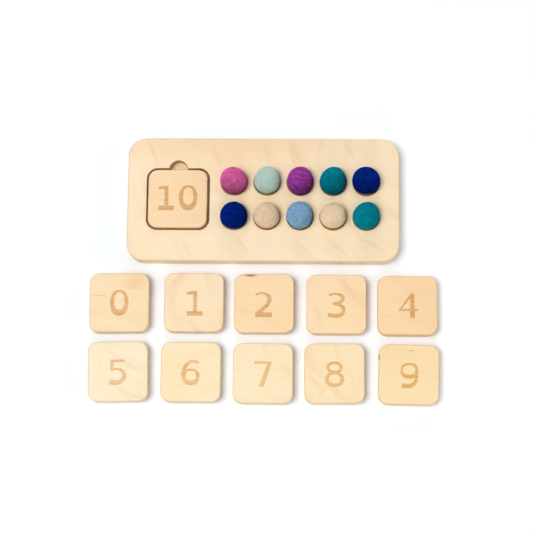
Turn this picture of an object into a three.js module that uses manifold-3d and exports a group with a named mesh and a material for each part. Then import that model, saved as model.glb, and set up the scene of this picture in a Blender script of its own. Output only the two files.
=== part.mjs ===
// A wooden counting board: one routed board, eleven number tiles and ten wool felt balls.
// Millimetres, +Z up. The origin is the middle of the board's underside. +X runs along the board
// from the tile recess to the cups, and +Y points away from the two rows of loose tiles.

import * as THREE from 'three';
import { mergeVertices } from 'three/addons/utils/BufferGeometryUtils.js';
import Module from 'manifold-3d';

// Number tiles, all of one size
const tileSide = 56.5;
const tileThickness = 12;
const tileCornerRadius = 9;
const tileEdgeEase = 1;

// Recess for one tile. It follows the tile, with room round it, and the tile stands proud of the face.
const recessClearance = 2;
const recessCornerRelief = 1.5;
const tileProud = 3;
const tileSeatGap = 0.3;

// Finger notch in the back edge of the recess, blended into that edge by a small flare each side
const notchRadius = 8.8;
const notchCentreInset = 1.1;
const notchFlareRadius = 1.2;

// Wool felt balls and their dished cups
const ballDiameter = 25.5;
const ballSeatGap = 0.3;
const cupClearance = 0.35;
const cupDepth = 7;
const cupColumns = 5;

// Wood left standing round the cuts, which makes the board's size
const boardEndWall = 18.3;
const boardSideWall = 29.75;
const recessToCupWall = 10.3;
const cupColumnWall = 5.4;
const cupRowWall = 7.65;
const recessFloorWall = 6.7;

// Board's outer edges, and the sanded edge round every cut in its face
const boardCornerRadius = 17;
const boardEdgeEase = 1.5;
const rimEase = 0.5;

// Loose tiles, laid out in front of the board in two rows of five
const looseBoardGap = 12;
const looseColumnGap = 11.9;
const looseRowGap = 9.7;
const looseRowShift = 1.8;
const looseColumns = 5;

// How far the cutting solids stand above the board's face
const cutOverrun = 2;

// Facets: steps in a quarter turn of an outline, steps across an eased edge, sides and rings of a dish
const boardArcSteps = 9;
const boardEaseSteps = 3;
const tileArcSteps = 5;
const tileEaseSteps = 2;
const cupSides = 24;
const cupRings = 5;
const ballSides = 18;
const ballRings = 10;

// The tiles were laid by hand. They stray from even rows along X and Y, as shares of the tile's side,
const looseStrayShares = [
  [-0.012, 0],
  [0.035, 0.012],
  [0.002, 0.004],
  [0.005, -0.004],
  [-0.018, -0.014],
  [-0.002, 0.004],
  [0.005, 0.007],
  [-0.002, -0.007],
  [-0.021, 0.002],
  [0, -0.007],
];
const seatedStrayShares = [-0.004, -0.005];

// and they are turned a little, in degrees, anticlockwise seen from above.
const looseTurns = [0.55, 0.1, 0.25, 0, 0.1, 1.4, 0, 0, 0.45, -0.8];

// Balls in the order of their cups, back row first, each with its share of the ball diameter
const balls = [
  { name: 'felt_ball_1_pink', colour: '#bc578e', sizeShare: 1.01 },
  { name: 'felt_ball_2_mint', colour: '#adc5b9', sizeShare: 0.99 },
  { name: 'felt_ball_3_purple', colour: '#863684', sizeShare: 1 },
  { name: 'felt_ball_4_teal', colour: '#046b7a', sizeShare: 0.99 },
  { name: 'felt_ball_5_navy', colour: '#031c69', sizeShare: 1.005 },
  { name: 'felt_ball_6_navy', colour: '#031c69', sizeShare: 0.985 },
  { name: 'felt_ball_7_beige', colour: '#dec4a3', sizeShare: 0.97 },
  { name: 'felt_ball_8_light_blue', colour: '#779ebd', sizeShare: 0.995 },
  { name: 'felt_ball_9_beige', colour: '#dec4a3', sizeShare: 0.965 },
  { name: 'felt_ball_10_teal', colour: '#046b7a', sizeShare: 1 },
];

// Sizes and places that follow from the ones above
const recessSide = tileSide + 2 * recessClearance;
const recessCornerRadius = tileCornerRadius + recessCornerRelief;
const recessDepth = tileThickness + tileSeatGap - tileProud;
const cupRimRadius = ballDiameter / 2 + cupClearance;
const cupColumnPitch = 2 * cupRimRadius + cupColumnWall;
const cupRowPitch = 2 * cupRimRadius + cupRowWall;
const cupFieldLength = (cupColumns - 1) * cupColumnPitch + 2 * cupRimRadius;
const boardLength = 2 * boardEndWall + recessSide + recessToCupWall + cupFieldLength;
const boardWidth = 2 * boardSideWall + recessSide;
const boardThickness = recessFloorWall + recessDepth;
const recessX = -boardLength / 2 + boardEndWall + recessSide / 2;
const firstCupX = recessX + recessSide / 2 + recessToCupWall + cupRimRadius;

const boardWood = new THREE.MeshStandardMaterial({ color: '#fbe0bd', roughness: 0.55, metalness: 0 });
const tileWood = new THREE.MeshStandardMaterial({ color: '#fce3bc', roughness: 0.55, metalness: 0 });

const quarterTurn = Math.PI / 2;

const wasm = await Module();
wasm.setup();

function solidFrom(geometry) {
  geometry.deleteAttribute('normal');
  geometry.deleteAttribute('uv');
  const merged = mergeVertices(geometry);
  const mesh = new wasm.Mesh({
    numProp: 3,
    vertProperties: merged.attributes.position.array,
    triVerts: merged.index.array,
  });
  return new wasm.Manifold(mesh);
}

function geometryFrom(solid) {
  const mesh = solid.getMesh();
  const geometry = new THREE.BufferGeometry();
  geometry.setAttribute('position', new THREE.BufferAttribute(mesh.vertProperties, 3));
  geometry.setIndex(new THREE.BufferAttribute(mesh.triVerts, 1));
  geometry.computeVertexNormals();
  return geometry;
}

// A rectangle about the origin with four round corners
function roundedRectangle(length, width, radius) {
  const x = length / 2 - radius;
  const y = width / 2 - radius;
  const outline = new THREE.Shape();
  outline.absarc(x, -y, radius, -quarterTurn, 0);
  outline.absarc(x, y, radius, 0, quarterTurn);
  outline.absarc(-x, y, radius, quarterTurn, 2 * quarterTurn);
  outline.absarc(-x, -y, radius, 2 * quarterTurn, 3 * quarterTurn);
  outline.closePath();
  return outline;
}

// The recess: a square with round corners and the notch in its back edge. The notch and its two
// flares are tangent arcs, so their centres lie the sum of their radii apart, and a flare's centre
// stands its own radius behind the edge. The angle of that line of centres says where the arcs meet.
function recessOutline() {
  const edge = recessSide / 2;
  const corner = edge - recessCornerRadius;
  const notchY = edge - notchCentreInset;
  const flareY = edge + notchFlareRadius;
  const flareX = Math.sqrt((notchRadius + notchFlareRadius) ** 2 - (flareY - notchY) ** 2);
  const meet = Math.atan2(flareY - notchY, flareX);
  const outline = new THREE.Shape();
  outline.absarc(corner, -corner, recessCornerRadius, -quarterTurn, 0);
  outline.absarc(corner, corner, recessCornerRadius, 0, quarterTurn);
  outline.absarc(flareX, flareY, notchFlareRadius, -quarterTurn, meet - 2 * quarterTurn, true);
  outline.absarc(0, notchY, notchRadius, meet, 2 * quarterTurn - meet);
  outline.absarc(-flareX, flareY, notchFlareRadius, -meet, -quarterTurn, true);
  outline.absarc(-corner, corner, recessCornerRadius, quarterTurn, 2 * quarterTurn);
  outline.absarc(-corner, -corner, recessCornerRadius, 2 * quarterTurn, 3 * quarterTurn);
  outline.closePath();
  return outline;
}

// A plate standing on z = 0 with its top and bottom edges rounded alike
function easedPlate(outline, thickness, ease, easeSteps, arcSteps) {
  const plate = new THREE.ExtrudeGeometry(outline, {
    depth: thickness - 2 * ease,
    curveSegments: arcSteps,
    bevelThickness: ease,
    bevelSize: ease,
    bevelOffset: -ease,
    bevelSegments: easeSteps,
  });
  plate.translate(0, 0, ease);
  return plate;
}

// Straight-walled pocket from the recess's floor to above the board's face
function recessPocket() {
  const pocket = new THREE.ExtrudeGeometry(recessOutline(), {
    depth: recessDepth + cutOverrun,
    curveSegments: boardArcSteps,
    bevelEnabled: false,
  });
  pocket.translate(recessX, 0, recessFloorWall);
  return solidFrom(pocket);
}

// Collar that takes the pocket's top edge off, widening as it reaches the board's face
function recessRim() {
  const rim = new THREE.ExtrudeGeometry(recessOutline(), {
    depth: cutOverrun,
    curveSegments: boardArcSteps,
    bevelThickness: rimEase,
    bevelSize: rimEase,
    bevelSegments: 1,
  });
  rim.translate(recessX, 0, boardThickness);
  return solidFrom(rim);
}

// Cutting solid of one cup, turned about +Z with the board's face at zero: a dish that is part of a
// sphere, an eased rim, and a stem above the face. The dish's arc turns through twice the angle of
// its chord, from the floor's centre to the rim.
function cupCutter() {
  const dishDepth = cupDepth - rimEase;
  const sphereRadius = (cupRimRadius ** 2 + dishDepth ** 2) / (2 * dishDepth);
  const reach = 2 * Math.atan2(dishDepth, cupRimRadius);
  const profile = [];
  for (let ring = 0; ring <= cupRings; ring += 1) {
    const angle = (reach * ring) / cupRings;
    const height = sphereRadius * (1 - Math.cos(angle)) - cupDepth;
    profile.push(new THREE.Vector2(sphereRadius * Math.sin(angle), height));
  }
  profile.push(new THREE.Vector2(cupRimRadius + rimEase, 0));
  profile.push(new THREE.Vector2(cupRimRadius + rimEase, cutOverrun));
  profile.push(new THREE.Vector2(0, cutOverrun));
  const cutter = new THREE.LatheGeometry(profile, cupSides);
  cutter.rotateX(quarterTurn);
  return solidFrom(cutter);
}

// Cup centres, the back row first and each row from the recess to the far end
function cupCentres() {
  const centres = [];
  for (const side of [1, -1]) {
    for (let column = 0; column < cupColumns; column += 1) {
      centres.push({ x: firstCupX + column * cupColumnPitch, y: (side * cupRowPitch) / 2 });
    }
  }
  return centres;
}

function addBoard(group) {
  const outline = roundedRectangle(boardLength, boardWidth, boardCornerRadius);
  const blank = easedPlate(outline, boardThickness, boardEdgeEase, boardEaseSteps, boardArcSteps);
  let solid = solidFrom(blank).subtract(recessPocket()).subtract(recessRim());
  const cutter = cupCutter();
  for (const centre of cupCentres()) {
    solid = solid.subtract(cutter.translate([centre.x, centre.y, boardThickness]));
  }
  const board = new THREE.Mesh(geometryFrom(solid), boardWood);
  board.name = 'board';
  group.add(board);
}

// Tiles 0 to 9 lie in front of the board, on what the board stands on
function addLooseTiles(group, geometry) {
  const firstRowY = -boardWidth / 2 - looseBoardGap - tileSide / 2;
  looseStrayShares.forEach(([alongShare, acrossShare], number) => {
    const column = (number % looseColumns) - (looseColumns - 1) / 2;
    const row = Math.floor(number / looseColumns);
    const tile = new THREE.Mesh(geometry, tileWood);
    tile.name = `tile_${number}`;
    tile.position.x = looseRowShift + column * (tileSide + looseColumnGap) + alongShare * tileSide;
    tile.position.y = firstRowY - row * (tileSide + looseRowGap) + acrossShare * tileSide;
    tile.rotation.z = THREE.MathUtils.degToRad(looseTurns[number]);
    group.add(tile);
  });
}

// Tile 10 sits in the recess
function addSeatedTile(group, geometry) {
  const [alongShare, acrossShare] = seatedStrayShares;
  const tile = new THREE.Mesh(geometry, tileWood);
  tile.name = 'tile_10';
  tile.position.set(recessX + alongShare * tileSide, acrossShare * tileSide, recessFloorWall + tileSeatGap);
  group.add(tile);
}

// One ball stands on the lowest point of each cup
function addBalls(group) {
  const centres = cupCentres();
  balls.forEach(({ name, colour, sizeShare }, index) => {
    const radius = (sizeShare * ballDiameter) / 2;
    const geometry = new THREE.SphereGeometry(radius, ballSides, ballRings);
    geometry.rotateX(quarterTurn);
    const felt = new THREE.MeshStandardMaterial({ color: colour, roughness: 0.95, metalness: 0 });
    const ball = new THREE.Mesh(geometry, felt);
    ball.name = name;
    ball.position.set(centres[index].x, centres[index].y, boardThickness - cupDepth + ballSeatGap + radius);
    group.add(ball);
  });
}

const countingBoard = new THREE.Group();
const tilePlate = easedPlate(
  roundedRectangle(tileSide, tileSide, tileCornerRadius),
  tileThickness,
  tileEdgeEase,
  tileEaseSteps,
  tileArcSteps,
);
addBoard(countingBoard);
addLooseTiles(countingBoard, tilePlate);
addSeatedTile(countingBoard, tilePlate);
addBalls(countingBoard);

export default countingBoard;
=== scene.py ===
import math

import bpy
import numpy as np
from mathutils.geometry import delaunay_2d_cdt
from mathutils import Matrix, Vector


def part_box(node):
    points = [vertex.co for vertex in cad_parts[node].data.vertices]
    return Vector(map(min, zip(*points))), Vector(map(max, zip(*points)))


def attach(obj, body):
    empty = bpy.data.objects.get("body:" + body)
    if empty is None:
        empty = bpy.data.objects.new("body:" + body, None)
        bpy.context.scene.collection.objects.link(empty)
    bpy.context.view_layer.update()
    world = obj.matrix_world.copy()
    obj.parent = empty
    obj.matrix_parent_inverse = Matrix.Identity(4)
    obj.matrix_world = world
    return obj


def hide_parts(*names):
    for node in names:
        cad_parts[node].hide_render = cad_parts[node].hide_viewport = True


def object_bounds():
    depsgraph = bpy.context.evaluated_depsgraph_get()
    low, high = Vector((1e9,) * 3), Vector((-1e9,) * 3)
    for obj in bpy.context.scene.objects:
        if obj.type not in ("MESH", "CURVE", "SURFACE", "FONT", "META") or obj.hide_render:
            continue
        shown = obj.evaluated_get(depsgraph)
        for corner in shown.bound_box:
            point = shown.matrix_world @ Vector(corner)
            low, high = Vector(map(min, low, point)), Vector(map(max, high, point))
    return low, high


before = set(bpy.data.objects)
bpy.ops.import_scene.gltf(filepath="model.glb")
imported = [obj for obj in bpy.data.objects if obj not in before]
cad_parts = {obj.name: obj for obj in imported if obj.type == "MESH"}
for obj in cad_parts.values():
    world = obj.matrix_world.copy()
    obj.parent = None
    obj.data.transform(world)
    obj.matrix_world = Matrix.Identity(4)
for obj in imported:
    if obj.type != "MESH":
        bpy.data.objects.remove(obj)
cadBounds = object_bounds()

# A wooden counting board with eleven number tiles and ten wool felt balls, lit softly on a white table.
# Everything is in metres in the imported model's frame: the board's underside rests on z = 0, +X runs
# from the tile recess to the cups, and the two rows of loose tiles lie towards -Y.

mm = 0.001
scene = bpy.context.scene

# Points nearer than this are one, in a shell, in an outline and (in mm) in a triangulation
closeness = {"shell": 1e-4 * mm, "outline": 1e-3 * mm, "triangles": 1e-5}


# Small tools

def linearColour(hexText):
    # sRGB to linear light: a straight line near black, a power of 2.4 above it
    srgb = np.array([int(hexText[k:k + 2], 16) for k in (1, 3, 5)]) / 255
    linear = np.where(srgb <= 0.04045, srgb / 12.92, ((srgb + 0.055) / 1.055) ** 2.4)
    return (*linear.tolist(), 1.0)


def addNode(tree, kind, settings=(), values=(), links=()):
    # Settings are a dictionary, or one word that names the node's operation
    node = tree.nodes.new("ShaderNode" + kind)
    if isinstance(settings, str):
        settings = {"operation": settings}
    for key, value in dict(settings).items():
        setattr(node, key, value)
    for socket, value in dict(values).items():
        node.inputs[socket].default_value = value
    for socket, source in dict(links).items():
        tree.links.new(source, node.inputs[socket])
    return node


# Settings that many nodes share
texture, fourWay = {"vector_type": "TEXTURE"}, {"noise_dimensions": "4D"}
smooth, coloured = {"interpolation_type": "SMOOTHSTEP"}, {"data_type": "RGBA"}


def newMaterial(name):
    material = bpy.data.materials.new(name)
    material.use_nodes = True
    material.node_tree.nodes.clear()
    return material, material.node_tree


def boxOf(node):
    low, high = (np.array(corner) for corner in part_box(node))
    return low, (low + high) / 2, high - low


def finishPiece(name, patches, material, body, node, sharpAngle=35):
    # A patch is (points, quads, triangles, shares). Shares name values per point, which the material
    # reads. Points that coincide become one, so the shell is closed.
    points, quads, triangles, start = [], [], [], 0
    for patchPoints, patchQuads, patchTriangles, _ in patches:
        points.append(patchPoints)
        quads.append(np.asarray(patchQuads, int).reshape(-1, 4) + start)
        triangles.append(np.asarray(patchTriangles, int).reshape(-1, 3) + start)
        start += len(patchPoints)
    points, quads, triangles = (np.concatenate(part) for part in (points, quads, triangles))
    cells = np.round(points / closeness["shell"]).astype(np.int64)
    cells, first, where = np.unique(cells, axis=0, return_index=True, return_inverse=True)
    where = where.reshape(-1)
    mesh = bpy.data.meshes.new(name)
    mesh.from_pydata(points[first].tolist(), [], where[quads].tolist() + where[triangles].tolist())
    for key in sorted({key for patch in patches for key in patch[3]}):
        share = np.concatenate([np.broadcast_to(patch[3].get(key, 0.0), len(patch[0])) for patch in patches])
        corners = np.concatenate([share[quads].reshape(-1), share[triangles].reshape(-1)])
        mesh.attributes.new(key, "FLOAT", "CORNER").data.foreach_set("value", corners.astype(np.float32))
    mesh.polygons.foreach_set("use_smooth", np.ones(len(mesh.polygons), bool))
    mesh.update()
    mesh.set_sharp_from_angle(angle=math.radians(sharpAngle))
    mesh.materials.append(material)
    piece = bpy.data.objects.new(name, mesh)
    scene.collection.objects.link(piece)
    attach(piece, body)
    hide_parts(node)
    return piece


# Outlines: points round a region, anticlockwise, each with the unit vector that leaves the region

def arc(centreX, centreY, radius, fromDegrees, toDegrees, steps, hollow=False):
    # A point at each angle: centre plus radius times (cos, sin). A hollow arc bends the other way.
    angle = np.radians(np.linspace(fromDegrees, toDegrees, steps + 1))
    away = np.stack([np.cos(angle), np.sin(angle)], axis=1)
    return np.array([centreX, centreY]) + radius * away, (-away if hollow else away)


def joinArcs(arcs):
    # The arcs one after another, without points that repeat the one before
    points, away = (np.concatenate(part) for part in zip(*arcs))
    fresh = np.linalg.norm(points - np.roll(points, 1, axis=0), axis=1) > closeness["outline"]
    return points[fresh], away[fresh]


def roundedRectangle(length, width, radius, steps):
    # Four quarter circles, each about a centre that lies a radius inside both sides
    x, y = length / 2 - radius, width / 2 - radius
    corners = [(x, -y, -90), (x, y, 0), (-x, y, 90), (-x, -y, 180)]
    return joinArcs([arc(cx, cy, radius, turn, turn + 90, steps) for cx, cy, turn in corners])


def sweepProfile(outline, profile):
    # Each profile row (out, z, shade) moves the outline's points outwards by out and up to z, and gives them
    # that share of painted shade. Rows from the foot to the top make an outer wall, rows from the top down
    # make a pocket.
    points, away = outline
    rows, count = len(profile), len(points)
    flat = points[None] + away[None] * profile[:, 0][:, None, None]
    height = np.broadcast_to(profile[:, 1][:, None, None], (rows, count, 1))
    grid = np.concatenate([flat, height], axis=2).reshape(-1, 3)
    row, column = np.meshgrid(np.arange(rows - 1), np.arange(count), indexing="ij")
    after = (column + 1) % count
    quads = np.stack([row * count + column, row * count + after,
                      (row + 1) * count + after, (row + 1) * count + column], axis=2).reshape(-1, 4)
    return grid, quads, [], {"worked": np.repeat(profile[:, 2], count)}


def ringAt(outline, out):
    # Each point plus out times its unit vector
    points, away = outline
    return points + away * out


def triangulate(polygons):
    # Flat triangles over everything inside the polygons. Each also gets the number of the last polygon
    # that holds it, so what lies only in the first one has 0.
    corners = np.concatenate(polygons) / mm
    starts = np.cumsum([0] + [len(polygon) for polygon in polygons])
    faces = [list(range(a, b)) for a, b in zip(starts, starts[1:])]
    found, _, triangles, origins, _, owners = delaunay_2d_cdt(corners.tolist(), [], faces, 0,
                                                              closeness["triangles"])
    flat = np.array([corners[origin[0]] if origin else tuple(point) for point, origin in zip(found, origins)])
    triangles = np.array(triangles)
    a, b, c = (flat[triangles[:, k]] for k in range(3))
    turned = (b - a)[:, 0] * (c - a)[:, 1] - (b - a)[:, 1] * (c - a)[:, 0] < 0
    triangles[turned] = triangles[turned][:, ::-1]
    return flat * mm, triangles, np.array([max(owner, default=-1) for owner in owners])


def flatPatch(flat, triangles, height, down=False, **shares):
    # Triangles laid at one height, which face up unless down is set
    points = np.column_stack([flat, np.full(len(flat), height)])
    return points, [], (triangles[:, ::-1] if down else triangles), shares


def easedProfile(thickness, ease, guard, steps, worked):
    # From the underside to the face: a quarter circle at each edge, and a guard row in each flat,
    # which keeps the shading of the flats even. The share of painted shade is full halfway round and nil on
    # the wall.
    angle = np.radians(np.linspace(-90, 0, steps + 1))
    lower = np.column_stack([ease * (np.cos(angle) - 1), ease * (1 + np.sin(angle)),
                             worked * np.interp(angle, np.radians([-90, -45, 0]), [0, 1, 0])])
    upper = lower[::-1] * [1, -1, 1] + [0, thickness, 0]
    inner = -ease - guard
    return np.concatenate([[[inner, 0, 0]], lower, upper, [[inner, thickness, 0]]])


# Wood. Pale maple: planed, sanded fine and wiped with a thin oil, so it is even and satin. Along X run
# fine growth streaks, across them lie a soft cloudy figure and the thin curved lines where a flat cut
# meets the yearly rings. Eased edges, and the walls, floors and cups that a cutter made, get painted shade.
# The finest lines of real maple are 0.2 mm apart, too fine to see here, so they are 0.9 mm wide.

woodLook = {
    "layers": [            # along, across (mm), degrees off X, detail, weight for plain and streaky wood
        (38, 0.9, 1.5, 2, 0.3, 0.5),
        (60, 2.4, 1.5, 3, 0.45, 1.15),
        (26, 7, None, 2, 0.75, 0.4),
        (150, 70, 0, 1, 0.9, 0.9),
    ],
    "middle": 0.45,        # share of the deep tone where the layers cancel
    "distortion": 0.3, "seedStep": (137, 71, 29),
    "pale": (1.01, 1.035, 1.1), "deep": (0.97, 0.91, 0.79),
    "ringApart": 25, "ringSway": 1.6, "ringTint": "#dda873",       # mm apart, and how many spacings they stray
    "ringNoise": {"Scale": 1 / 55, "Detail": 1.0, "Distortion": 0.2},
    "ringRise": {"From Min": 0.5, "From Max": 1.0}, "ringDrop": {"From Min": 1.0, "From Max": 0.93},
    "ringPatches": {"From Min": 0.35, "From Max": 0.62},
    "fleckSize": (3.2, 0.8, 0.8), "fleckStep": (31, 17, 5), "fleckTint": "#b98a5c",
    "fleckNoise": {"Scale": 1.0, "Detail": 1}, "markDepth": 100,
    "fleckPeaks": {"From Min": 0.68, "From Max": 0.85, "To Max": 0.5},
    "scorchNoise": {"From Min": 0.36, "From Max": 0.64, "To Min": 0.68},
    # painted shade: the tint that eased edges, pocket walls, floors and cups are multiplied towards
    "worked": (0.44, 0.32, 0.11), "ior": 1.5, "bump": {"Strength": 0.2, "Distance": 0.04 * mm},
    "roughness": {"From Min": 0.3, "From Max": 0.7, "To Min": 0.41, "To Max": 0.53},
}


def makeWood(name, own, centre, turn, seed):
    # What all the wood has in common is in woodLook, and a piece's own settings are in own
    look = woodLook
    base = np.array(linearColour(own["wood"])[:3])
    material, tree = newMaterial(name)
    where = addNode(tree, "TexCoord").outputs["Object"]
    local = addNode(tree, "Mapping", texture,
                    {"Location": tuple(centre), "Rotation": (0, 0, math.radians(turn)),
                     "Scale": (mm, mm, mm)}, {"Vector": where}).outputs["Vector"]
    # Tone: the middle share plus each layer's weight times its noise less one half. The cloudy layer
    # lies along the rings.
    ringX, ringY = own["ringMiddle"]
    lean = math.degrees(math.atan2(ringY, ringX)) - 90
    layers = [(along, across, lean if angle is None else angle, detail,
               plain + (streaky - plain) * own["streaky"])
              for along, across, angle, detail, plain, streaky in look["layers"]]
    tone, noises = None, []
    start = look["middle"] - sum(layer[4] for layer in layers) / 2
    for along, across, angle, detail, weight in layers:
        cell = addNode(tree, "Mapping", texture,
                       {"Location": tuple(seed * step for step in look["seedStep"]),
                        "Rotation": (0, 0, math.radians(angle)), "Scale": (along, across, across)},
                       {"Vector": local})
        noise = addNode(tree, "TexNoise", {},
                        {"Scale": 1.0, "Detail": detail, "Distortion": look["distortion"]},
                        {"Vector": cell.outputs["Vector"]}).outputs["Fac"]
        noises.append(noise)
        tone = addNode(tree, "Math", "MULTIPLY_ADD", {1: weight, 2: start},
                       {0: noise} if tone is None else {0: noise, 2: tone}).outputs[0]
    tone = addNode(tree, "Clamp", {}, {}, {"Value": tone}).outputs[0]
    colour = addNode(tree, "Mix", coloured,
                     {6: (*(base * look["pale"]).tolist(), 1), 7: (*(base * look["deep"]).tolist(), 1)},
                     {0: tone}).outputs[2]
    # Ring lines: the distance from the rings' middle in line spacings, plus a wandering noise. The part
    # after the whole number rises slowly towards each line and falls off quickly behind it. The lines
    # show only in patches of the widest layer.
    offset = addNode(tree, "VectorMath", "SUBTRACT", {1: (ringX, ringY, 0)}, {0: local})
    flat = addNode(tree, "VectorMath", "MULTIPLY",
                   {1: (1 / look["ringApart"], 1 / look["ringApart"], 0)}, {0: offset.outputs["Vector"]})
    distance = addNode(tree, "VectorMath", "LENGTH", {}, {0: flat.outputs["Vector"]})
    wander = addNode(tree, "TexNoise", fourWay, {"W": seed, **look["ringNoise"]},
                     {"Vector": local}).outputs["Fac"]
    count = addNode(tree, "Math", "MULTIPLY_ADD", {1: look["ringSway"]},
                    {0: wander, 2: distance.outputs["Value"]}).outputs[0]
    part = addNode(tree, "Math", "FRACT", {}, {0: count}).outputs[0]
    rise = addNode(tree, "MapRange", {"interpolation_type": "SMOOTHERSTEP"}, look["ringRise"],
                   {"Value": part}).outputs[0]
    drop = addNode(tree, "MapRange", smooth, look["ringDrop"], {"Value": part}).outputs[0]
    line = addNode(tree, "Math", "MULTIPLY", {}, {0: rise, 1: drop}).outputs[0]
    fade = addNode(tree, "MapRange", smooth,
                   {**look["ringPatches"], "To Max": own["rings"]}, {"Value": noises[3]}).outputs[0]
    line = addNode(tree, "Math", "MULTIPLY", {}, {0: line, 1: fade}).outputs[0]
    tints = [(line, look["ringTint"])]
    # Flecks: the highest peaks of a short noise along the grain
    cell = addNode(tree, "Mapping", texture,
                   {"Location": tuple(seed * step for step in look["fleckStep"]), "Scale": look["fleckSize"]},
                   {"Vector": local})
    peaks = addNode(tree, "TexNoise", {}, look["fleckNoise"], {"Vector": cell.outputs["Vector"]})
    fleck = addNode(tree, "MapRange", {}, look["fleckPeaks"], {"Value": peaks.outputs["Fac"]}).outputs[0]
    tints.append((fleck, look["fleckTint"]))
    # Marks: soft ellipses that a tint takes over, most in their middle
    for markX, markY, length, width, angle, strength, tint in own["marks"]:
        spot = addNode(tree, "Mapping", texture,
                       {"Location": (markX, markY, 0), "Rotation": (0, 0, math.radians(angle)),
                        "Scale": (length / 2, width / 2, look["markDepth"])}, {"Vector": local})
        glow = addNode(tree, "TexGradient", {"gradient_type": "SPHERICAL"}, {},
                       {"Vector": spot.outputs["Vector"]})
        amount = addNode(tree, "MapRange", smooth, {"To Max": strength}, {"Value": glow.outputs["Fac"]})
        tints.append((amount.outputs[0], tint))
    if "scorch" in own:
        depth = addNode(tree, "Attribute", {"attribute_name": "scorch"}).outputs["Fac"]
        uneven = addNode(tree, "MapRange", {}, look["scorchNoise"], {"Value": noises[1]})
        burn = addNode(tree, "Math", {"operation": "MULTIPLY", "use_clamp": True}, {},
                       {0: depth, 1: uneven.outputs[0]})
        tints.append((burn.outputs[0], own["scorch"]))
    for amount, tint in tints:
        colour = addNode(tree, "Mix", coloured, {7: linearColour(tint)}, {0: amount, 6: colour}).outputs[2]
    # Painted shade: each point's share multiplies the colour towards the shade tint, on eased edges, pocket
    # walls, floors and cups
    worked = addNode(tree, "Attribute", {"attribute_name": "worked"}).outputs["Fac"]
    colour = addNode(tree, "Mix", {**coloured, "blend_type": "MULTIPLY"},
                     {7: (*look["worked"], 1)}, {0: worked, 6: colour}).outputs[2]
    rough = addNode(tree, "MapRange", {}, look["roughness"], {"Value": noises[1]})
    bump = addNode(tree, "Bump", {}, look["bump"], {"Height": noises[0]})
    shader = addNode(tree, "BsdfPrincipled", {}, {"IOR": look["ior"]},
                     {"Base Color": colour, "Roughness": rough.outputs[0], "Normal": bump.outputs[0]})
    addNode(tree, "OutputMaterial", {}, {}, {"Surface": shader.outputs[0]})
    return material


# The board: one plank with a recess for a tile, a finger notch behind it and ten dished cups

lineTint, bandTint = "#dda873", "#e6ba86"       # the thin ring lines, and the wider bands beside them
board = {
    "cornerRadius": 17 * mm, "ease": 1.5 * mm, "rimEase": 0.5 * mm, "guard": 0.4 * mm,
    "recessSide": 60.5 * mm, "recessCorner": 10.5 * mm, "recessDepth": 9.3 * mm, "recessEnd": 18.3 * mm,
    "floorFillet": 0.4 * mm,
    "notchRadius": 8.8 * mm, "notchInset": 1.1 * mm, "notchFlare": 1.2 * mm,
    "cupRim": 13.1 * mm, "cupDepth": 7 * mm, "cupEase": 0.25 * mm, "cupRows": 26, "cupHole": 1.5,
    "lipReach": 1.6, "lipCorner": 0.75, "roundRows": 7, "plainRows": 2, "fadeRows": 5, "cupFade": (0.5, 0.9),
    "cornerSteps": 24, "edgeSteps": 8, "recessSteps": 20, "flareSteps": 8, "notchSteps": 40, "cupSteps": 72,
    # Shares of painted shade on the eased edge, the recess wall, the recess floor and the cups
    "paintedShadeEdge": 0.2, "paintedShadeWall": 0.85, "paintedShadeFloor": 0.07, "paintedShadeCup": 0.85,
    "wood": "#ffe7c2", "seed": 3.0, "streaky": 0.15, "rings": 0.18, "ringMiddle": (156, 54),
    "marks": [             # a deeper upper half and ring lines, written as for the tiles below
        (-60, 60, 300, 90, 0, 0.45, "#efc48c"), (20, 62, 260, 50, 0, 0.18, "#eec794"),
        (-72.8, -47, 46, 7, -66, 0.18, lineTint), (-79, -48, 52, 18, -66, 0.14, bandTint),
        (-20, -44.5, 48, 6, -53, 0.2, lineTint), (-27, -47, 54, 18, -53, 0.08, bandTint),
        (39, -47.5, 56, 7, -44, 0.2, lineTint), (33, -51.5, 58, 18, -44, 0.12, bandTint),
        (72.5, -47.5, 58, 7, -41, 0.2, lineTint), (67, -52, 58, 16, -41, 0.1, bandTint),
        (104, -42.5, 58, 7, -29, 0.2, lineTint), (101, -48, 58, 18, -29, 0.08, bandTint),
        (82, 49.4, 32, 6, -57, 0.2, lineTint), (-106.5, 46.4, 38, 6, -67, 0.22, lineTint),
        (-46, 44, 38, 12, -62, 0.24, bandTint), (30, 47, 42, 13, -58, 0.24, bandTint),
    ],
}


def recessOutline():
    # A square with round corners. The notch and its flares are arcs that touch, so their centres lie
    # the sum of their radii apart.
    edge = board["recessSide"] / 2
    corner = edge - board["recessCorner"]
    notchY, flareY = edge - board["notchInset"], edge + board["notchFlare"]
    reach = board["notchRadius"] + board["notchFlare"]
    flareX = math.sqrt(reach ** 2 - (flareY - notchY) ** 2)
    meet = math.degrees(math.atan2(flareY - notchY, flareX))
    radius, flare = board["recessCorner"], board["notchFlare"]
    steps, flareSteps = board["recessSteps"], board["flareSteps"]
    return joinArcs([
        arc(corner, -corner, radius, -90, 0, steps),
        arc(corner, corner, radius, 0, 90, steps),
        arc(flareX, flareY, flare, 270, 180 + meet, flareSteps, hollow=True),
        arc(0, notchY, board["notchRadius"], meet, 180 - meet, board["notchSteps"]),
        arc(-flareX, flareY, flare, -meet, -90, flareSteps, hollow=True),
        arc(-corner, corner, radius, 90, 180, steps),
        arc(-corner, -corner, radius, 180, 270, steps),
    ])


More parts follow.
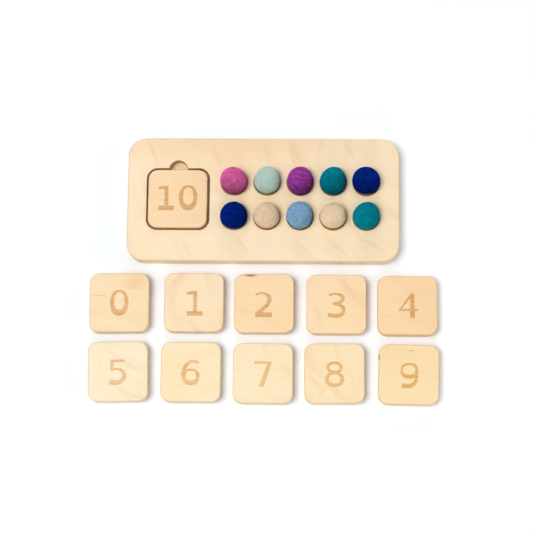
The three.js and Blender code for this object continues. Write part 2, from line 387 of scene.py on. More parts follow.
def recessProfile(thickness):
    # Face, eased rim, wall, small fillet, floor
    ease, fillet, guard = board["rimEase"], board["floorFillet"], board["guard"]
    floor = thickness - board["recessDepth"]
    rows = board["roundRows"]
    angle = np.radians(np.linspace(0, 90, rows))
    # Painted shade grows down the rim to the wall's share and eases off round the fillet to the floor's share
    rim = np.column_stack([ease * (1 - np.sin(angle)), thickness - ease * (1 - np.cos(angle)),
                           np.linspace(0, board["paintedShadeWall"], rows)])
    foot = np.column_stack([-fillet * (1 - np.cos(angle)), floor + fillet * (1 - np.sin(angle)),
                            np.linspace(board["paintedShadeWall"], board["paintedShadeFloor"], rows)])
    return np.concatenate([[[ease + guard, thickness, 0]], rim, foot,
                           [[-fillet - guard, floor, board["paintedShadeFloor"]]]])


def cupProfile(thickness):
    # Face, a rim that is a curve between three points, and a dish that is part of a sphere. The dish goes
    # down to a small hole (half its angle is cupHole, in degrees), which a flat patch fills.
    ease, guard, rim = board["cupEase"], board["guard"], board["cupRim"]
    dish = board["cupDepth"] - ease
    sphere = (rim ** 2 + dish ** 2) / (2 * dish)
    angle = np.linspace(2 * math.atan2(dish, rim), math.radians(board["cupHole"]), board["cupRows"])
    bottom = thickness - board["cupDepth"]
    bowl = np.column_stack([sphere * np.sin(angle), bottom + sphere * (1 - np.cos(angle))])
    share = np.linspace(0, 1, board["roundRows"])[:-1, None]
    outer = np.array([rim + ease * board["lipReach"], thickness])
    corner = np.array([rim + ease * board["lipCorner"], thickness])
    lip = (1 - share) ** 2 * outer + 2 * share * (1 - share) * corner + share ** 2 * bowl[0]
    profile = np.concatenate([[[outer[0] + guard, thickness]], lip, bowl])
    # The painted shade is strongest just under the rim, where shade falls round the ball, and fades towards
    # the middle
    fade = np.interp(profile[:, 0] / rim, board["cupFade"], [board["paintedShadeFloor"], board["paintedShadeCup"]])
    worked = np.clip((np.arange(len(profile)) - board["plainRows"]) / board["fadeRows"], 0, 1) * fade
    return np.column_stack([profile - np.array([rim, 0]), worked])


def buildBoard():
    low, centre, size = boxOf("board")
    thickness = size[2]
    outer = roundedRectangle(size[0], size[1], board["cornerRadius"], board["cornerSteps"])
    shell = easedProfile(thickness, board["ease"], board["guard"], board["edgeSteps"], board["paintedShadeEdge"])
    patches = [sweepProfile(outer, shell)]
    rim = ringAt(outer, shell[-1, 0])
    flat, triangles, _ = triangulate([rim])
    patches.append(flatPatch(flat, triangles, 0, down=True))

    recessAt = np.array([low[0] + board["recessEnd"] + board["recessSide"] / 2, centre[1]])
    points, away = recessOutline()
    recess = (points + recessAt, away)
    walls = recessProfile(thickness)
    patches.append(sweepProfile(recess, walls))
    flat, triangles, owner = triangulate([ringAt(recess, walls[-1, 0])])
    patches.append(flatPatch(flat, triangles[owner == 0], walls[-1, 1], worked=board["paintedShadeFloor"]))

    cups = []
    dish = cupProfile(thickness)
    circle, away = arc(0, 0, board["cupRim"], 0, 360, board["cupSteps"])
    for node in ballNodes:
        cup = (circle[:-1] + boxOf(node)[1][:2], away[:-1])
        cups.append(cup)
        patches.append(sweepProfile(cup, dish))
        flat, triangles, _ = triangulate([ringAt(cup, dish[-1, 0])])
        patches.append(flatPatch(flat, triangles, dish[-1, 1], worked=board["paintedShadeFloor"]))
    holes = [ringAt(recess, walls[0, 0])] + [ringAt(cup, dish[0, 0]) for cup in cups]
    flat, triangles, owner = triangulate([rim] + holes)
    patches.append(flatPatch(flat, triangles[owner == 0], thickness))

    patches = [(points + np.array([0, 0, low[2]]), *rest) for points, *rest in patches]
    wood = makeWood("oiledMapleBoard", board, centre, 0.0, board["seed"])
    piece = finishPiece("routedBoard", patches, wood, "board", "board")
    print("board:", len(piece.data.polygons), "faces")


# The number tiles. A numeral is a few strokes, in shares of its height, x from its middle and y from
# its foot. Strokes are thin at the head and heavy at the foot.

# The tiles' eased edges carry a share of painted shade
tile = {
    "side": 56.5 * mm, "cornerRadius": 9 * mm, "ease": 1 * mm, "guard": 0.3 * mm,
    "numeralHeight": 24 * mm, "engraved": 0.35 * mm, "tenSpread": 0.437, "paintedShadeEdge": 0.3,
    "ringPoints": 56, "ringPower": 2.25, "sweepPoints": 8, "scorchFloor": 0.9, "scorchWall": 1.1,
    "firstSeed": 11.0, "seedStep": 2.7, "cornerSteps": 14, "edgeSteps": 7,
}


def bandPolygons(path, widths, closed=False):
    # Quads along a path. Across each point of the path lies the width there, square to the path.
    onward = np.roll(path, -1, axis=0) - np.roll(path, 1, axis=0)
    if not closed:
        onward[0], onward[-1] = path[1] - path[0], path[-1] - path[-2]
    onward /= np.linalg.norm(onward, axis=1)[:, None]
    side = np.stack([-onward[:, 1], onward[:, 0]], axis=1) * widths[:, None] / 2
    left, right = path + side, path - side
    last = len(path) if closed else len(path) - 1
    after = (np.arange(last) + 1) % len(path)
    quads = np.stack([right[:last], right[after], left[after], left[:last]], axis=1)
    return list(quads)


def ring(middleX, lowY, highY, radiusX, foot, right, head, left):
    # A superellipse from lowY to highY: |x|^power + |y|^power = 1. The width goes smoothly through its
    # four named values.
    angle = np.linspace(0, 2 * math.pi, tile["ringPoints"], endpoint=False)
    wide, tall = np.cos(angle), np.sin(angle)
    power = tile["ringPower"]
    squarish = (np.abs(wide) ** power + np.abs(tall) ** power) ** (-1 / power)
    path = np.column_stack([middleX + radiusX * wide * squarish,
                            (lowY + highY) / 2 + (highY - lowY) / 2 * tall * squarish])
    across = np.where(wide > 0, right, left)
    upright = np.where(tall > 0, head, foot)
    return bandPolygons(path, across * wide ** 2 + upright * tall ** 2, closed=True)


def sweep(*stops):
    # Cubic curve through the stops (x, y, width), whose slope at a stop is half the way between the
    # stops beside it
    stops = np.array(stops)
    padded = np.concatenate([[2 * stops[0] - stops[1]], stops, [2 * stops[-1] - stops[-2]]])
    share = np.linspace(0, 1, tile["sweepPoints"] + 1)[:-1, None]
    pieces = [0.5 * (2 * b + (c - a) * share + (2 * a - 5 * b + 4 * c - d) * share ** 2
                     + (3 * b - a - 3 * c + d) * share ** 3)
              for a, b, c, d in zip(padded, padded[1:], padded[2:], padded[3:])]
    curve = np.concatenate(pieces + [stops[-1:]])
    return bandPolygons(curve[:, :2], curve[:, 2])


def bar(*corners):
    return [np.array(corners)]


numerals = {
    "0": ring(0, 0.105, 0.977, 0.286, 0.24, 0.15, 0.085, 0.16),
    "1": bar((-0.309, 0), (0.309, 0), (0.309, 0.182), (-0.309, 0.182))
    + bar((-0.07, 0.1), (0.086, 0.1), (0.078, 1), (-0.062, 0.98))
    + bar((-0.309, 0.845), (-0.04, 0.87), (0.0, 0.995), (-0.309, 0.955)),
    "2": sweep((-0.306, 0.904, 0.085), (-0.045, 0.958, 0.08), (0.18, 0.87, 0.13), (0.246, 0.72, 0.163),
               (0.165, 0.5, 0.14), (-0.03, 0.3, 0.15), (-0.24, 0.115, 0.19))
    + bar((-0.315, 0), (0.339, 0), (0.339, 0.19), (-0.315, 0.17)),
    "3": sweep((-0.3, 0.915, 0.09), (-0.03, 0.96, 0.078), (0.17, 0.9, 0.12), (0.243, 0.775, 0.155),
               (0.14, 0.62, 0.12), (-0.15, 0.56, 0.1))
    + sweep((-0.15, 0.56, 0.1), (0.08, 0.53, 0.11), (0.235, 0.43, 0.14), (0.275, 0.3, 0.15),
            (0.19, 0.14, 0.155), (-0.02, 0.08, 0.155), (-0.335, 0.125, 0.17)),
    "4": bar((0.075, 0.022), (0.27, 0.022), (0.24, 1), (0.09, 1))
    + bar((-0.37, 0.312), (0.388, 0.312), (0.388, 0.4), (-0.37, 0.4))
    + bar((-0.37, 0.33), (-0.285, 0.34), (0.155, 0.935), (0.1, 1)),
    "5": bar((-0.29, 0.9), (0.255, 0.9), (0.255, 0.994), (-0.29, 0.994))
    + bar((-0.3, 0.54), (-0.17, 0.56), (-0.18, 0.96), (-0.29, 0.96))
    + sweep((-0.25, 0.58, 0.08), (-0.08, 0.628, 0.078), (0.155, 0.55, 0.12), (0.252, 0.36, 0.156),
            (0.16, 0.17, 0.165), (-0.05, 0.09, 0.175), (-0.33, 0.11, 0.18)),
    "6": ring(0.006, 0.095, 0.607, 0.28, 0.184, 0.132, 0.08, 0.148)
    + sweep((0.32, 0.89, 0.115), (0.06, 0.94, 0.12), (-0.13, 0.85, 0.125), (-0.245, 0.67, 0.14),
            (-0.288, 0.46, 0.152), (-0.27, 0.31, 0.15)),
    "7": bar((-0.33, 0.903), (0.34, 0.903), (0.358, 0.997), (-0.33, 0.997))
    + bar((-0.14, 0.01), (0.055, 0.01), (0.355, 0.985), (0.2, 0.95)),
    "8": ring(0, 0.585, 0.95, 0.252, 0.11, 0.12, 0.1, 0.125)
    + ring(0, 0.07, 0.54, 0.3, 0.14, 0.147, 0.09, 0.147),
    "9": ring(-0.006, 0.462, 0.967, 0.294, 0.17, 0.12, 0.072, 0.078)
    + sweep((0.288, 0.72, 0.12), (0.285, 0.5, 0.125), (0.245, 0.29, 0.13), (0.13, 0.15, 0.155),
            (-0.05, 0.095, 0.17), (-0.285, 0.105, 0.185)),
}

# Tiles 0 to 10: where the numeral lies off the tile's middle in mm, the tile's turn, its wood, the
# numeral's scorched tone, and marks in the wood as x, y, length, width, angle, strength and tint
tiles = [
    {"off": (0.2, -0.5), "turn": 0.55, "wood": "#fbe0b6", "scorch": "#d69748", "streaky": 0.8,
     "rings": 0.09, "ringMiddle": (45, 78),
     "marks": [(-18.5, 6.6, 26, 1.3, -3, 0.55, "#b08556"), (16, 20, 34, 22, 20, 0.6, "#efbf85")]},
    {"off": (1.0, -1.1), "turn": 0.1, "wood": "#fce3bc", "scorch": "#d89c54", "streaky": 0.1,
     "rings": 0.22, "ringMiddle": (85, 31), "marks": [(-21, 4, 30, 12, 70, 0.3, "#efc79a")]},
    {"off": (-0.65, -1.3), "turn": 0.25, "wood": "#fedeb0", "scorch": "#d1933a", "streaky": 0.75,
     "rings": 0.09, "ringMiddle": (58, 69),
     "marks": [(-12.8, 26.6, 18, 3.4, 0, 1.0, "#8a4c1e"), (-18.3, -7.2, 9, 1.6, 0, 0.35, "#a8763f"),
               (-13, -8.5, 14, 1.4, 3, 0.3, "#c08d56")]},
    {"off": (0.25, -1.15), "turn": 0.0, "wood": "#fedfb1", "scorch": "#d89a37", "streaky": 0.2,
     "rings": 0.18, "ringMiddle": (74, 52),
     "marks": [(11, 15, 44, 8, -50, 0.36, "#e9bd88"), (-17, -10, 36, 8, -75, 0.3, "#e9bf8c")]},
    {"off": (0.6, -0.9), "turn": 0.1, "wood": "#fedbac", "scorch": "#d39131", "streaky": 1.0,
     "rings": 0.068, "ringMiddle": (31, 85), "marks": []},
    {"off": (0.2, -0.65), "turn": 1.4, "wood": "#fceac7", "scorch": "#e4ac67", "streaky": 0.1,
     "rings": 0.18, "ringMiddle": (58, 69), "marks": [(2, 12, 60, 6, -35, 0.35, "#efc99c")]},
    {"off": (0.0, -0.65), "turn": 0.0, "wood": "#fde5b9", "scorch": "#e4a655", "streaky": 0.9,
     "rings": 0.045, "ringMiddle": (31, 85), "marks": []},
    {"off": (-0.25, -0.8), "turn": 0.0, "wood": "#fde9c1", "scorch": "#e4a84d", "streaky": 0.25,
     "rings": 0.14, "ringMiddle": (64, 64), "marks": [(24, 2, 22, 8, -60, 0.3, "#efca98")]},
    {"off": (0.1, -1.0), "turn": 0.45, "wood": "#ffe6bb", "scorch": "#e3a84c", "streaky": 0.2,
     "rings": 0.14, "ringMiddle": (69, 58),
     "marks": [(-18, -8, 28, 7, -42, 0.36, "#eec48a"), (-12, -19, 20, 7, 66, 0.3, "#eec48a")]},
    {"off": (0.5, -1.3), "turn": -0.8, "wood": "#ffe2b0", "scorch": "#de9f44", "streaky": 0.85,
     "rings": 0.045, "ringMiddle": (31, 85),
     "marks": [(-28.0, 15.8, 3, 8, 0, 0.75, "#80532c"), (2, 22.5, 12, 1.6, 0, 0.6, "#b98a5c")]},
    {"off": (-0.4, 0.6), "turn": 0.0, "wood": "#fcdbae", "scorch": "#cc8f36", "streaky": 0.8,
     "rings": 0.09, "ringMiddle": (45, 78), "marks": []},
]


def numeralPolygons(text, height):
    # A number of two figures has them to the left and right of its middle
    spread = tile["tenSpread"] if len(text) > 1 else 0.0
    found = []
    for place, figure in enumerate(text):
        shift = np.array([spread * (2 * place - 1) if spread else 0.0, -0.5])
        found += [(polygon + shift) * height for polygon in numerals[figure]]
    return found


def buildTile(number, look):
    node = f"tile_{number}"
    _, centre, size = boxOf(node)
    bottom, thickness = centre[2] - size[2] / 2, size[2]
    outline = roundedRectangle(tile["side"], tile["side"], tile["cornerRadius"], tile["cornerSteps"])
    shell = easedProfile(thickness, tile["ease"], tile["guard"], tile["edgeSteps"], tile["paintedShadeEdge"])
    rim = ringAt(outline, shell[-1, 0])
    flat, triangles, _ = triangulate([rim])
    patches = [sweepProfile(outline, shell), flatPatch(flat, triangles, 0, down=True)]

    numeral = [p + np.array(look["off"]) * mm for p in numeralPolygons(str(number), tile["numeralHeight"])]
    flat, triangles, owner = triangulate([rim] + numeral)
    cut = triangles[owner > 0]
    floor = flatPatch(flat, cut, thickness - tile["engraved"], scorch=tile["scorchFloor"])
    face = flatPatch(flat, triangles[owner == 0], thickness)
    # A side of a cut triangle that no other cut triangle shares is the numeral's edge, where a wall stands
    edges = np.concatenate([cut[:, [0, 1]], cut[:, [1, 2]], cut[:, [2, 0]]])
    count = len(flat)
    ends = edges[~np.isin(edges[:, 0] * count + edges[:, 1], edges[:, 1] * count + edges[:, 0])]
    sides = np.stack([ends[:, 1], ends[:, 0], ends[:, 0] + count, ends[:, 1] + count], axis=1)
    patches += [floor, face, (np.concatenate([floor[0], face[0]]), sides, [], {"scorch": tile["scorchWall"]})]

    turn = math.radians(look["turn"])
    spin = np.array([[math.cos(turn), math.sin(turn), 0], [-math.sin(turn), math.cos(turn), 0], [0, 0, 1]])
    base = np.array([centre[0], centre[1], bottom])
    patches = [(points @ spin + base, *rest) for points, *rest in patches]
    seed = tile["firstSeed"] + tile["seedStep"] * number
    wood = makeWood(f"oiledMapleTile{number}", look, centre, look["turn"], seed)
    piece = finishPiece(f"numberTile{number}", patches, wood, f"{node}_body", node)
    return len(piece.data.polygons)


# The felt balls: dyed wool, wet felted by hand into firm balls. Matte, with swirling strands of lighter and
# darker wool and a short fuzz of loose fibres. Lobes say by what share the outline seen from above swells
# all round, and as one, two and three lobes towards a bearing in degrees. Real fibres are 0.02 mm thick,
# too fine to see here, so each one stands for a few, and the strands in the wool are drawn 0.7 mm wide.

felt = {
    "around": 168, "up": 84, "lumps": 0.007, "lumpGain": 2, "relief": 0.07 * mm, "reliefGain": 3,
    "slowWaves": (10, 2.2), "quickWaves": (60, 22),     # how many, and how fast they run in radians
    "firstSeed": 500, "lastPhase": 6.28, "sharpAngle": 80,
    "pressedFrom": -0.75, "pressedOver": 0.5,           # heights in radii, over which the relief comes in
    "fibres": 1800, "fibreLength": 3.4 * mm, "fibreSpread": (0.5, 1.3), "fibreThickness": 0.1 * mm,
    "fibreTaper": (1.0, 0.9, 0.7, 0.25), "fibreBend": 0.5, "fibreSunk": 0.2, "layPitch": 0.8, "layShare": 2,
    "fibreRise": 0.35 * mm, "lowestRise": 0.15, "shortPower": 2, "liftPower": 1.5,
    "flatFrom": -0.5, "flatOver": 0.5, "flatShare": 0.1,
    "drift": {"Scale": 1 / 12, "Detail": 3}, "driftReach": 7, "driftStep": 3.7,         # swirls of 12 mm
    "mottle": {"Scale": 0.35, "Detail": 3}, "mottleShare": 0.4, "mottleStep": 5.3,      # tufts of 3 mm
    "strand": {"Scale": 1.0, "Detail": 2}, "strandLength": 7, "strandWidth": 0.7, "strandStep": 9.1,    # mm
    "axes": [(12, 20), (50, 200)],      # tilt and bearing of the axes that the strands wind round
    "axisStep": 73, "axisStretch": 1000,
    "shade": {"From Min": -0.2, "From Max": 0.2}, "bump": {"Strength": 0.5, "Distance": 0.12 * mm},
    # painted sheen: the loose fibres are drawn paler than the skin, by a factor and a small lift
    "deep": 0.78, "pale": 1.22, "deepest": 0.1, "fibrePaintedSheen": 1.12, "fibreSheenLift": 0.01, "sheenGain": 2,
    "surface": {"Roughness": 0.9, "IOR": 1.45, "Specular IOR Level": 0.01, "Sheen Weight": 0.04,
                "Sheen Roughness": 0.5},
}

# The pair after mottled is painted light and shade: towards its bearing a ball grows lighter by that share per
# mm, darker away from it
balls = [
    {"name": "pink", "colour": "#cb5e98", "mottled": 1.3, "paintedLightSlope": (0.032, 104),
     "lobes": [(0.005, 0), (0.021, 174), (0.034, -33), (0.012, -15)]},
    {"name": "mint", "colour": "#b9d0c4", "mottled": 0.4, "paintedLightSlope": (0.011, 137),
     "lobes": [(0.011, 0), (0.058, 68), (0.033, 71), (0.012, -44)]},
    {"name": "purple", "colour": "#933c92", "mottled": 1.7, "paintedLightSlope": (0.04, 126),
     "lobes": [(0.016, 0), (0.008, 107), (0.054, 87), (0.003, 36)]},
    {"name": "teal", "colour": "#047586", "mottled": 1.2, "paintedLightSlope": (0.037, 114),
     "lobes": [(0.024, 0), (0.033, 151), (0.034, 76), (0.018, -45)]},
    {"name": "navy", "colour": "#032175", "mottled": 2.4, "paintedLightSlope": (0.025, 111),
     "lobes": [(0.031, 0), (0.066, 121), (0.015, -15), (0.01, -19)]},
    {"name": "navy", "colour": "#032073", "mottled": 2.0, "paintedLightSlope": (0.026, 142),
     "lobes": [(0.035, 0), (0.024, 4), (0.01, -1), (0.012, -34)]},
    {"name": "beige", "colour": "#e5cdac", "mottled": 0.55, "paintedLightSlope": (0.01, 153),
     "lobes": [(0.005, 0), (0.012, 108), (0.012, -30), (0.01, 90)]},
    {"name": "light_blue", "colour": "#80a8c8", "mottled": 0.9, "paintedLightSlope": (0.014, 139),
     "lobes": [(0.004, 0), (0.046, 136), (0.031, -89), (0.013, 52)]},
    {"name": "beige", "colour": "#ebd4b4", "mottled": 0.42, "paintedLightSlope": (0.01, 152),
     "lobes": [(0.005, 0), (0.012, 108), (0.02, 8), (0.01, 90)]},
    {"name": "teal", "colour": "#048394", "mottled": 1.1, "paintedLightSlope": (0.012, 148),
     "lobes": [(0.013, 0), (0.008, 37), (0.038, 58), (0.002, -56)]},
]
ballNodes = [f"felt_ball_{number}_{ball['name']}" for number, ball in enumerate(balls, 1)]


def makeFelt(name, look, centre, seed):
    material, tree = newMaterial(name)
    where = addNode(tree, "TexCoord").outputs["Object"]
    local = addNode(tree, "Mapping", texture,
                    {"Location": centre.tolist(), "Scale": (mm, mm, mm)}, {"Vector": where}).outputs["Vector"]
    # Each place is moved a little by a slow noise before the strands are drawn
    drift = addNode(tree, "TexNoise", fourWay, {"W": seed * felt["driftStep"], **felt["drift"]},
                    {"Vector": local})
    moved = addNode(tree, "VectorMath", "MULTIPLY_ADD", {1: (felt["driftReach"],) * 3},
                    {0: drift.outputs["Color"], 2: local}).outputs["Vector"]
    # Tone: each noise less one half, times its share. Strands wind round tilted axes: their noise changes
    # quickly with the distance from the axis, which a stretch along the axis leaves, and slowly with the
    # place.
    mottle = addNode(tree, "TexNoise", fourWay, {"W": seed * felt["mottleStep"], **felt["mottle"]},
                     {"Vector": local}).outputs["Fac"]
    tone = addNode(tree, "Math", "MULTIPLY_ADD",
                   {1: felt["mottleShare"], 2: -felt["mottleShare"] / 2}, {0: mottle}).outputs[0]
    for tilt, bearing in felt["axes"]:
        turn = (0, math.radians(tilt), math.radians(bearing + felt["axisStep"] * seed))
        wound = addNode(tree, "Mapping", texture, {"Rotation": turn, "Scale": (1, 1, felt["axisStretch"])},
                        {"Vector": moved}).outputs["Vector"]
        away = addNode(tree, "VectorMath", "LENGTH", {}, {0: wound}).outputs["Value"]
        count = addNode(tree, "Math", "MULTIPLY_ADD",
                        {1: 1 / felt["strandWidth"], 2: felt["strandStep"] * seed + tilt},
                        {0: away}).outputs[0]
        cell = addNode(tree, "VectorMath", "SCALE",
                       {"Scale": 1 / felt["strandLength"]}, {0: local}).outputs["Vector"]
        strand = addNode(tree, "TexNoise", fourWay, felt["strand"],
                         {"Vector": cell, "W": count}).outputs["Fac"]
        strand = addNode(tree, "Math", "SUBTRACT", {1: 0.5}, {0: strand}).outputs[0]
        tone = addNode(tree, "Math", "ADD", {}, {0: strand, 1: tone}).outputs[0]
    base = np.array(linearColour(look["colour"])[:3])
    deep, pale = (max(1 + (felt[key] - 1) * look["mottled"], felt["deepest"]) for key in ("deep", "pale"))
    shade = addNode(tree, "MapRange", {}, felt["shade"], {"Value": tone})
    mixed = addNode(tree, "Mix", coloured,
                    {6: (*(base * deep).tolist(), 1.0), 7: (*(base * pale).tolist(), 1.0)},
                    {0: shade.outputs[0]})
    # Painted light and shade: towards the bearing the wool gains that share of its colour per mm, away from it
    # loses it
    gain, bearing = look["paintedLightSlope"]
    slope = (gain * math.cos(math.radians(bearing)), gain * math.sin(math.radians(bearing)), 0)
    level = addNode(tree, "VectorMath", "DOT_PRODUCT", {1: slope}, {0: local}).outputs["Value"]
    level = addNode(tree, "Math", "ADD", {1: 1.0}, {0: level}).outputs[0]
    # Painted sheen: the loose fibres are paler than the skin
    loose = addNode(tree, "Attribute", {"attribute_name": "fibre"}).outputs["Fac"]
    mixed = addNode(tree, "Mix", coloured,
                    {7: (*(base * felt["fibrePaintedSheen"] + felt["fibreSheenLift"] * base.max()).tolist(), 1.0)},
                    {0: loose, 6: mixed.outputs[2]})
    dyedWithPaintedLight = addNode(tree, "VectorMath", "SCALE", {}, {0: mixed.outputs[2], "Scale": level}).outputs["Vector"]
    bump = addNode(tree, "Bump", {}, felt["bump"], {"Height": tone})
    sheenTint = (*np.minimum(base * felt["sheenGain"], 1).tolist(), 1.0)
    shader = addNode(tree, "BsdfPrincipled", {}, {**felt["surface"], "Sheen Tint": sheenTint},
                     {"Base Color": dyedWithPaintedLight, "Normal": bump.outputs[0]})
    addNode(tree, "OutputMaterial", {}, {}, {"Surface": shader.outputs[0]})
    return material


def ballSurface(directions, radius, look, waves):
    # Radius in each direction: a swell of share * (1 - z^2) * cos(lobes * bearing) for none to three lobes,
    # a few slow lumps, and a fine relief. Lumps and relief are the mean of sine waves in space, times a
    # gain with which they reach about one. The cup presses the underside smooth.
    slow, slowPhase, quick, quickPhase = waves
    bearing = np.arctan2(directions[:, 1], directions[:, 0])
    level = 1 - directions[:, 2] ** 2
    swell = sum(share * level * np.cos(count * (bearing - math.radians(turn)))
                for count, (share, turn) in enumerate(look["lobes"]))
    lumps = np.sin(directions @ slow.T + slowPhase).mean(axis=1) * felt["lumpGain"]
    relief = np.sin(directions @ quick.T + quickPhase).mean(axis=1) * felt["reliefGain"]
    above = np.clip((directions[:, 2] - felt["pressedFrom"]) / felt["pressedOver"], 0, 1)
    return radius * (1 + swell + felt["lumps"] * lumps * above) + felt["relief"] * relief * above


def fibreTubes(rng, directions, heights, radius, look, waves):
    # Each fibre leaves the skin, bends over it and ends in the air: its points are the skin's point in a
    # direction that turns about an axis, raised by a share of its own rise. The axis is half chance, half
    # a field of slow sine waves, so that neighbours lie alike. Three flat sides.
    count, rows = len(directions), len(felt["fibreTaper"])
    lay = np.sin(directions @ waves[0][:3].T * felt["layPitch"] + waves[1][:3]) * felt["layShare"]
    axis = np.cross(directions, lay + rng.normal(size=directions.shape))
    axis /= np.linalg.norm(axis, axis=1)[:, None]
    reach = felt["fibreLength"] * rng.uniform(*felt["fibreSpread"], count) / radius
    share = np.linspace(0, 1, rows)
    bend = rng.uniform(-felt["fibreBend"], felt["fibreBend"], count)
    third = np.cross(axis, directions)
    turned = (np.cos(reach[:, None] * share)[..., None] * directions[:, None]
              + np.sin(reach[:, None] * share)[..., None] * third[:, None]
              + (bend[:, None] * reach[:, None] * share ** 2)[..., None] * axis[:, None])
    turned /= np.linalg.norm(turned, axis=2)[..., None]
    skin = ballSurface(turned.reshape(-1, 3), radius, look, waves).reshape(count, rows)
    sunk = felt["fibreSunk"] * felt["fibreThickness"]
    middle = turned * (skin + heights[:, None] * share ** felt["liftPower"] - sunk)[..., None]
    across = np.cross(turned, third[:, None])
    across /= np.linalg.norm(across, axis=2)[..., None]
    around = np.radians([90, 210, 330])
    half = felt["fibreThickness"] / 2 * np.array(felt["fibreTaper"])
    tube = (middle[:, :, None] + half[None, :, None, None]
            * (np.cos(around)[None, None, :, None] * across[:, :, None]
               + np.sin(around)[None, None, :, None] * turned[:, :, None]))
    points = tube.reshape(-1, 3)
    start = (np.arange(count) * rows * 3)[:, None, None]
    row, side = np.meshgrid(np.arange(rows - 1), np.arange(3), indexing="ij")
    after = (side + 1) % 3
    quads = np.stack([row * 3 + side, row * 3 + after, (row + 1) * 3 + after, (row + 1) * 3 + side], axis=2)
    quads = (quads.reshape(1, -1, 4) + start).reshape(-1, 4)
    ends = np.array([[0, 2, 1], [rows * 3 - 3, rows * 3 - 2, rows * 3 - 1]])
    return points, quads, (ends[None] + start).reshape(-1, 3), {"fibre": 1.0}


def buildBall(number, look):
    node = ballNodes[number - 1]
    _, centre, size = boxOf(node)
    radius = size.mean() / 2
    rng = np.random.default_rng(felt["firstSeed"] + number)
    waves = []
    for waveCount, pitch in (felt["slowWaves"], felt["quickWaves"]):
        waves += [rng.normal(size=(waveCount, 3)) * pitch, rng.uniform(0, felt["lastPhase"], waveCount)]
    # The skin is a net of rings between two poles: each point is the centre plus the radius there times
    # (sin p cos t, sin p sin t, cos p), with p counted from the upper pole and t round the ball
    around, up = felt["around"], felt["up"]
    polar, turn = np.meshgrid(np.linspace(0, math.pi, up + 1)[1:-1],
                              np.linspace(0, 2 * math.pi, around, endpoint=False), indexing="ij")
    directions = np.stack([np.sin(polar) * np.cos(turn), np.sin(polar) * np.sin(turn), np.cos(polar)],
                          axis=2).reshape(-1, 3)
    directions = np.concatenate([directions, [[0, 0, 1], [0, 0, -1]]])
    skin = directions * ballSurface(directions, radius, look, waves)[:, None]
    row, column = np.meshgrid(np.arange(up - 2), np.arange(around), indexing="ij")
    after = (column + 1) % around
    quads = np.stack([row * around + column, (row + 1) * around + column,
                      (row + 1) * around + after, row * around + after], axis=2).reshape(-1, 4)
    first = np.arange(around)
    follow = (first + 1) % around
    last = (up - 2) * around
    top, bottom = len(directions) - 2, len(directions) - 1
    caps = np.concatenate([np.stack([np.full(around, top), first, follow], axis=1),
                           np.stack([np.full(around, bottom), last + follow, last + first], axis=1)])
    roots = rng.normal(size=(felt["fibres"], 3))
    roots /= np.linalg.norm(roots, axis=1)[:, None]
    free = np.clip((roots[:, 2] - felt["flatFrom"]) / felt["flatOver"], felt["flatShare"], 1)
    heights = felt["fibreRise"] * rng.uniform(felt["lowestRise"], 1, len(roots)) ** felt["shortPower"] * free
    fuzz = fibreTubes(rng, roots, heights, radius, look, waves)
    patches = [(points + centre, *rest) for points, *rest in ((skin, quads, caps, {}), fuzz)]
    wool = makeFelt(f"wetFeltedWool{number}", look, centre, number)
    piece = finishPiece(f"feltBall{number}", patches, wool, f"{node}_body", node,
                        felt["sharpAngle"])
    return len(piece.data.polygons)


# Table, lights and camera

studio = {
    "tableSize": 12.0, "tableBounce": "#dedede", "tableSeen": "#f4f9ff",
    "nearLift": {"From Min": 0.5, "From Max": 0.9, "To Min": 0.05, "To Max": 0.165},
    "gapReach": 60 * mm, "gapSamples": 8, "farLift": {"From Min": 0.4, "From Max": 2.5},
    "sky": 0.1, "softboxSize": 2.8, "softboxAway": 5.0,
    "softboxes": [      # power (W) and direction
        (156, (-0.33, -0.085, 0.94)), (10, (0, -0.75, 0.66)), (15, (-0.68, -0.27, 0.66)),
        (73, (0.94, 0, 0.34)), (60, (0, 0.94, 0.34)), (47, (0, -0.94, 0.34)),
    ],
}


def seenStraight(tree):
    # 1 where the camera, a mirror or a clear body shows the surface, 0 for light that it scatters
    ray = addNode(tree, "LightPath")
    seen = addNode(tree, "Math", "MAXIMUM", {},
                   {0: ray.outputs["Is Camera Ray"], 1: ray.outputs["Is Glossy Ray"]})
    return addNode(tree, "Math", "MAXIMUM", {},
                   {0: seen.outputs[0], 1: ray.outputs["Is Transmission Ray"]}).outputs[0]


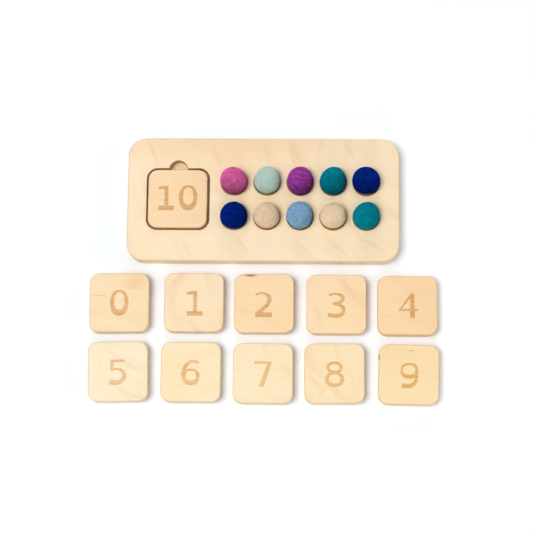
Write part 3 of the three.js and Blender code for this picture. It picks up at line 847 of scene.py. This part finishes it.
def buildTable():
    half = studio["tableSize"] / 2
    mesh = bpy.data.meshes.new("whiteTable")
    corners = np.array([[-1, -1], [1, -1], [1, 1], [-1, 1]]) * half
    mesh.from_pydata(np.column_stack([corners, np.zeros(4)]).tolist(), [], [[0, 1, 2, 3]])
    material, tree = newMaterial("matteWhitePaint")
    seen = seenStraight(tree)
    colour = addNode(tree, "Mix", coloured,
                     {6: linearColour(studio["tableBounce"]), 7: linearColour(studio["tableSeen"])},
                     {0: seen})
    paint = addNode(tree, "BsdfDiffuse", {}, {}, {"Color": colour.outputs[2]})
    # Light from the paint itself: little in the narrow gaps, more in the open, and so much further off that
    # the table runs on into the white room
    hollow = addNode(tree, "AmbientOcclusion", {"samples": studio["gapSamples"]},
                     {"Distance": studio["gapReach"]})
    near = addNode(tree, "MapRange", {}, studio["nearLift"], {"Value": hollow.outputs["AO"]})
    where = addNode(tree, "TexCoord").outputs["Object"]
    away = addNode(tree, "VectorMath", "LENGTH", {}, {0: where}).outputs["Value"]
    far = addNode(tree, "MapRange", smooth, studio["farLift"], {"Value": away})
    level = addNode(tree, "Math", "ADD", {}, {0: near.outputs[0], 1: far.outputs[0]})
    lift = addNode(tree, "Math", "MULTIPLY", {}, {0: level.outputs[0], 1: seen})
    glow = addNode(tree, "Emission", {}, {"Color": (1, 1, 1, 1)}, {"Strength": lift.outputs[0]})
    both = addNode(tree, "AddShader", {}, {}, {0: paint.outputs[0], 1: glow.outputs[0]})
    addNode(tree, "OutputMaterial", {}, {}, {"Surface": both.outputs[0]})
    mesh.materials.append(material)
    table = bpy.data.objects.new("whiteTable", mesh)
    scene.collection.objects.link(table)


def buildLights():
    world = bpy.data.worlds.new("studioRoom")
    scene.world = world
    world.use_nodes = True
    tree = world.node_tree
    tree.nodes.clear()
    strength = addNode(tree, "MapRange", {}, {"To Min": studio["sky"], "To Max": 1},
                       {"Value": seenStraight(tree)})
    sky = addNode(tree, "Background", {}, {"Color": (1, 1, 1, 1)}, {"Strength": strength.outputs[0]})
    addNode(tree, "OutputWorld", {}, {}, {"Surface": sky.outputs[0]})
    middle = (np.array(cadBounds[0]) + np.array(cadBounds[1])) / 2
    for number, (power, direction) in enumerate(studio["softboxes"]):
        light = bpy.data.lights.new(f"softbox{number}", "AREA")
        light.shape = "DISK"
        light.size = studio["softboxSize"]
        light.energy = power
        softbox = bpy.data.objects.new(f"softbox{number}", light)
        towards = np.array(direction) / np.linalg.norm(direction)
        softbox.location = (middle + towards * studio["softboxAway"]).tolist()
        softbox.rotation_mode = "XYZ"
        softbox.rotation_euler = (math.acos(towards[2]), 0, math.atan2(towards[1], towards[0]) + math.pi / 2)
        scene.collection.objects.link(softbox)


# The camera's place and turns were found from the edges of the board and tiles in the photograph
camera = {
    "focalPixels": 1750, "imagePixels": 533, "sensor": 36.0,
    "place": (52.8 * mm, -386.6 * mm, 1644.2 * mm), "tilt": 11.16, "pan": -1.683, "roll": 0.37,
}


def buildCamera():
    data = bpy.data.cameras.new("photoCamera")
    data.sensor_width = camera["sensor"]
    data.lens = camera["focalPixels"] / camera["imagePixels"] * camera["sensor"]
    holder = bpy.data.objects.new("photoCamera", data)
    holder.location = camera["place"]
    holder.rotation_mode = "ZYX"
    holder.rotation_euler = tuple(math.radians(camera[key]) * sign
                                  for key, sign in (("tilt", 1), ("pan", -1), ("roll", 1)))
    scene.collection.objects.link(holder)
    scene.camera = holder


buildCamera()
buildLights()
buildTable()
print("studio: camera, lights and table are in place")
buildBoard()
print("tiles:", sum(buildTile(number, look) for number, look in enumerate(tiles)), "faces")
print("balls:", sum(buildBall(number, look) for number, look in enumerate(balls, 1)), "faces")

scene.view_settings.view_transform = "Standard"
